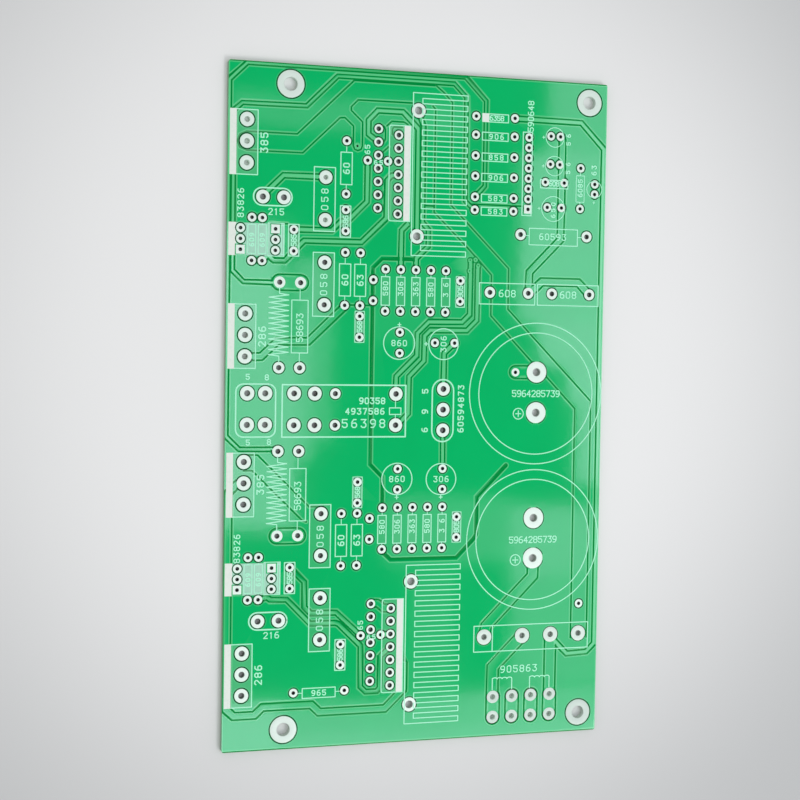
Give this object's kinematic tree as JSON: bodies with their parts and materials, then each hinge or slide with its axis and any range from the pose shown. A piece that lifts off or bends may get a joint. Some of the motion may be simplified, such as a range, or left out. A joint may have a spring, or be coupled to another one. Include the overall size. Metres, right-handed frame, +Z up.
{
  "type": "amplifier circuit board",
  "caption": "Bare double-sided circuit board for a stereo power amplifier, with plated lands, four mounting holes and a printed legend.",
  "frame": {"origin": "middle of the board's underside", "axes": "+X across the board's width, towards the power supply side; +Y along its length, towards the first channel; +Z up, out of the legend side"},
  "size_m": [0.0964, 0.164, 0.0016],
  "materials": {
    "solder_mask": "gloss",
    "tin": "satin",
    "legend_ink": "matte",
    "laminate": "matte"
  },
  "bodies": {
    "root": {"board": "solder_mask", "audio_land_1": "tin", "audio_land_2": "tin", "audio_land_3": "tin", "emitter_resistor_1_land_1": "tin", "emitter_resistor_1_land_2": "tin", "emitter_resistor_2_land_1": "tin", "emitter_resistor_2_land_2": "tin", "emitter_resistor_3_land_1": "tin", "emitter_resistor_3_land_2": "tin", "emitter_resistor_4_land_1": "tin", "emitter_resistor_4_land_2": "tin", "heat_sink_1_land_1": "tin", "heat_sink_1_land_2": "tin", "heat_sink_2_land_1": "tin", "heat_sink_2_land_2": "tin", "mount_land_1": "tin", "mount_land_2": "tin", "mount_land_3": "tin", "mount_land_4": "tin", "output_transistor_1_land_1": "tin", "output_transistor_1_land_2": "tin", "output_transistor_1_land_3": "tin", "output_transistor_2_land_1": "tin", "output_transistor_2_land_2": "tin", "output_transistor_2_land_3": "tin", "output_transistor_3_land_1": "tin", "output_transistor_3_land_2": "tin", "output_transistor_3_land_3": "tin", "output_transistor_4_land_1": "tin", "output_transistor_4_land_2": "tin", "output_transistor_4_land_3": "tin", "rectifier_land_1": "tin", "rectifier_land_2": "tin", "rectifier_land_3": "tin", "rectifier_land_4": "tin", "relay_coil_land_1": "tin", "relay_coil_land_2": "tin", "relay_common_land_1": "tin", "relay_common_land_2": "tin", "relay_contact_land_1": "tin", "relay_contact_land_2": "tin", "relay_contact_land_3": "tin", "relay_contact_land_4": "tin", "reservoir_1_land_1": "tin", "reservoir_1_land_2": "tin", "reservoir_2_land_1": "tin", "reservoir_2_land_2": "tin", "speaker_land_1": "tin", "speaker_land_2": "tin", "speaker_land_3": "tin", "speaker_land_4": "tin", "transformer_land_1": "tin", "transformer_land_2": "tin", "transformer_land_3": "tin", "transformer_land_4": "tin", "transformer_land_5": "tin", "transformer_land_6": "tin", "transformer_land_7": "tin", "transformer_land_8": "tin"}
  },
  "joints": []
}
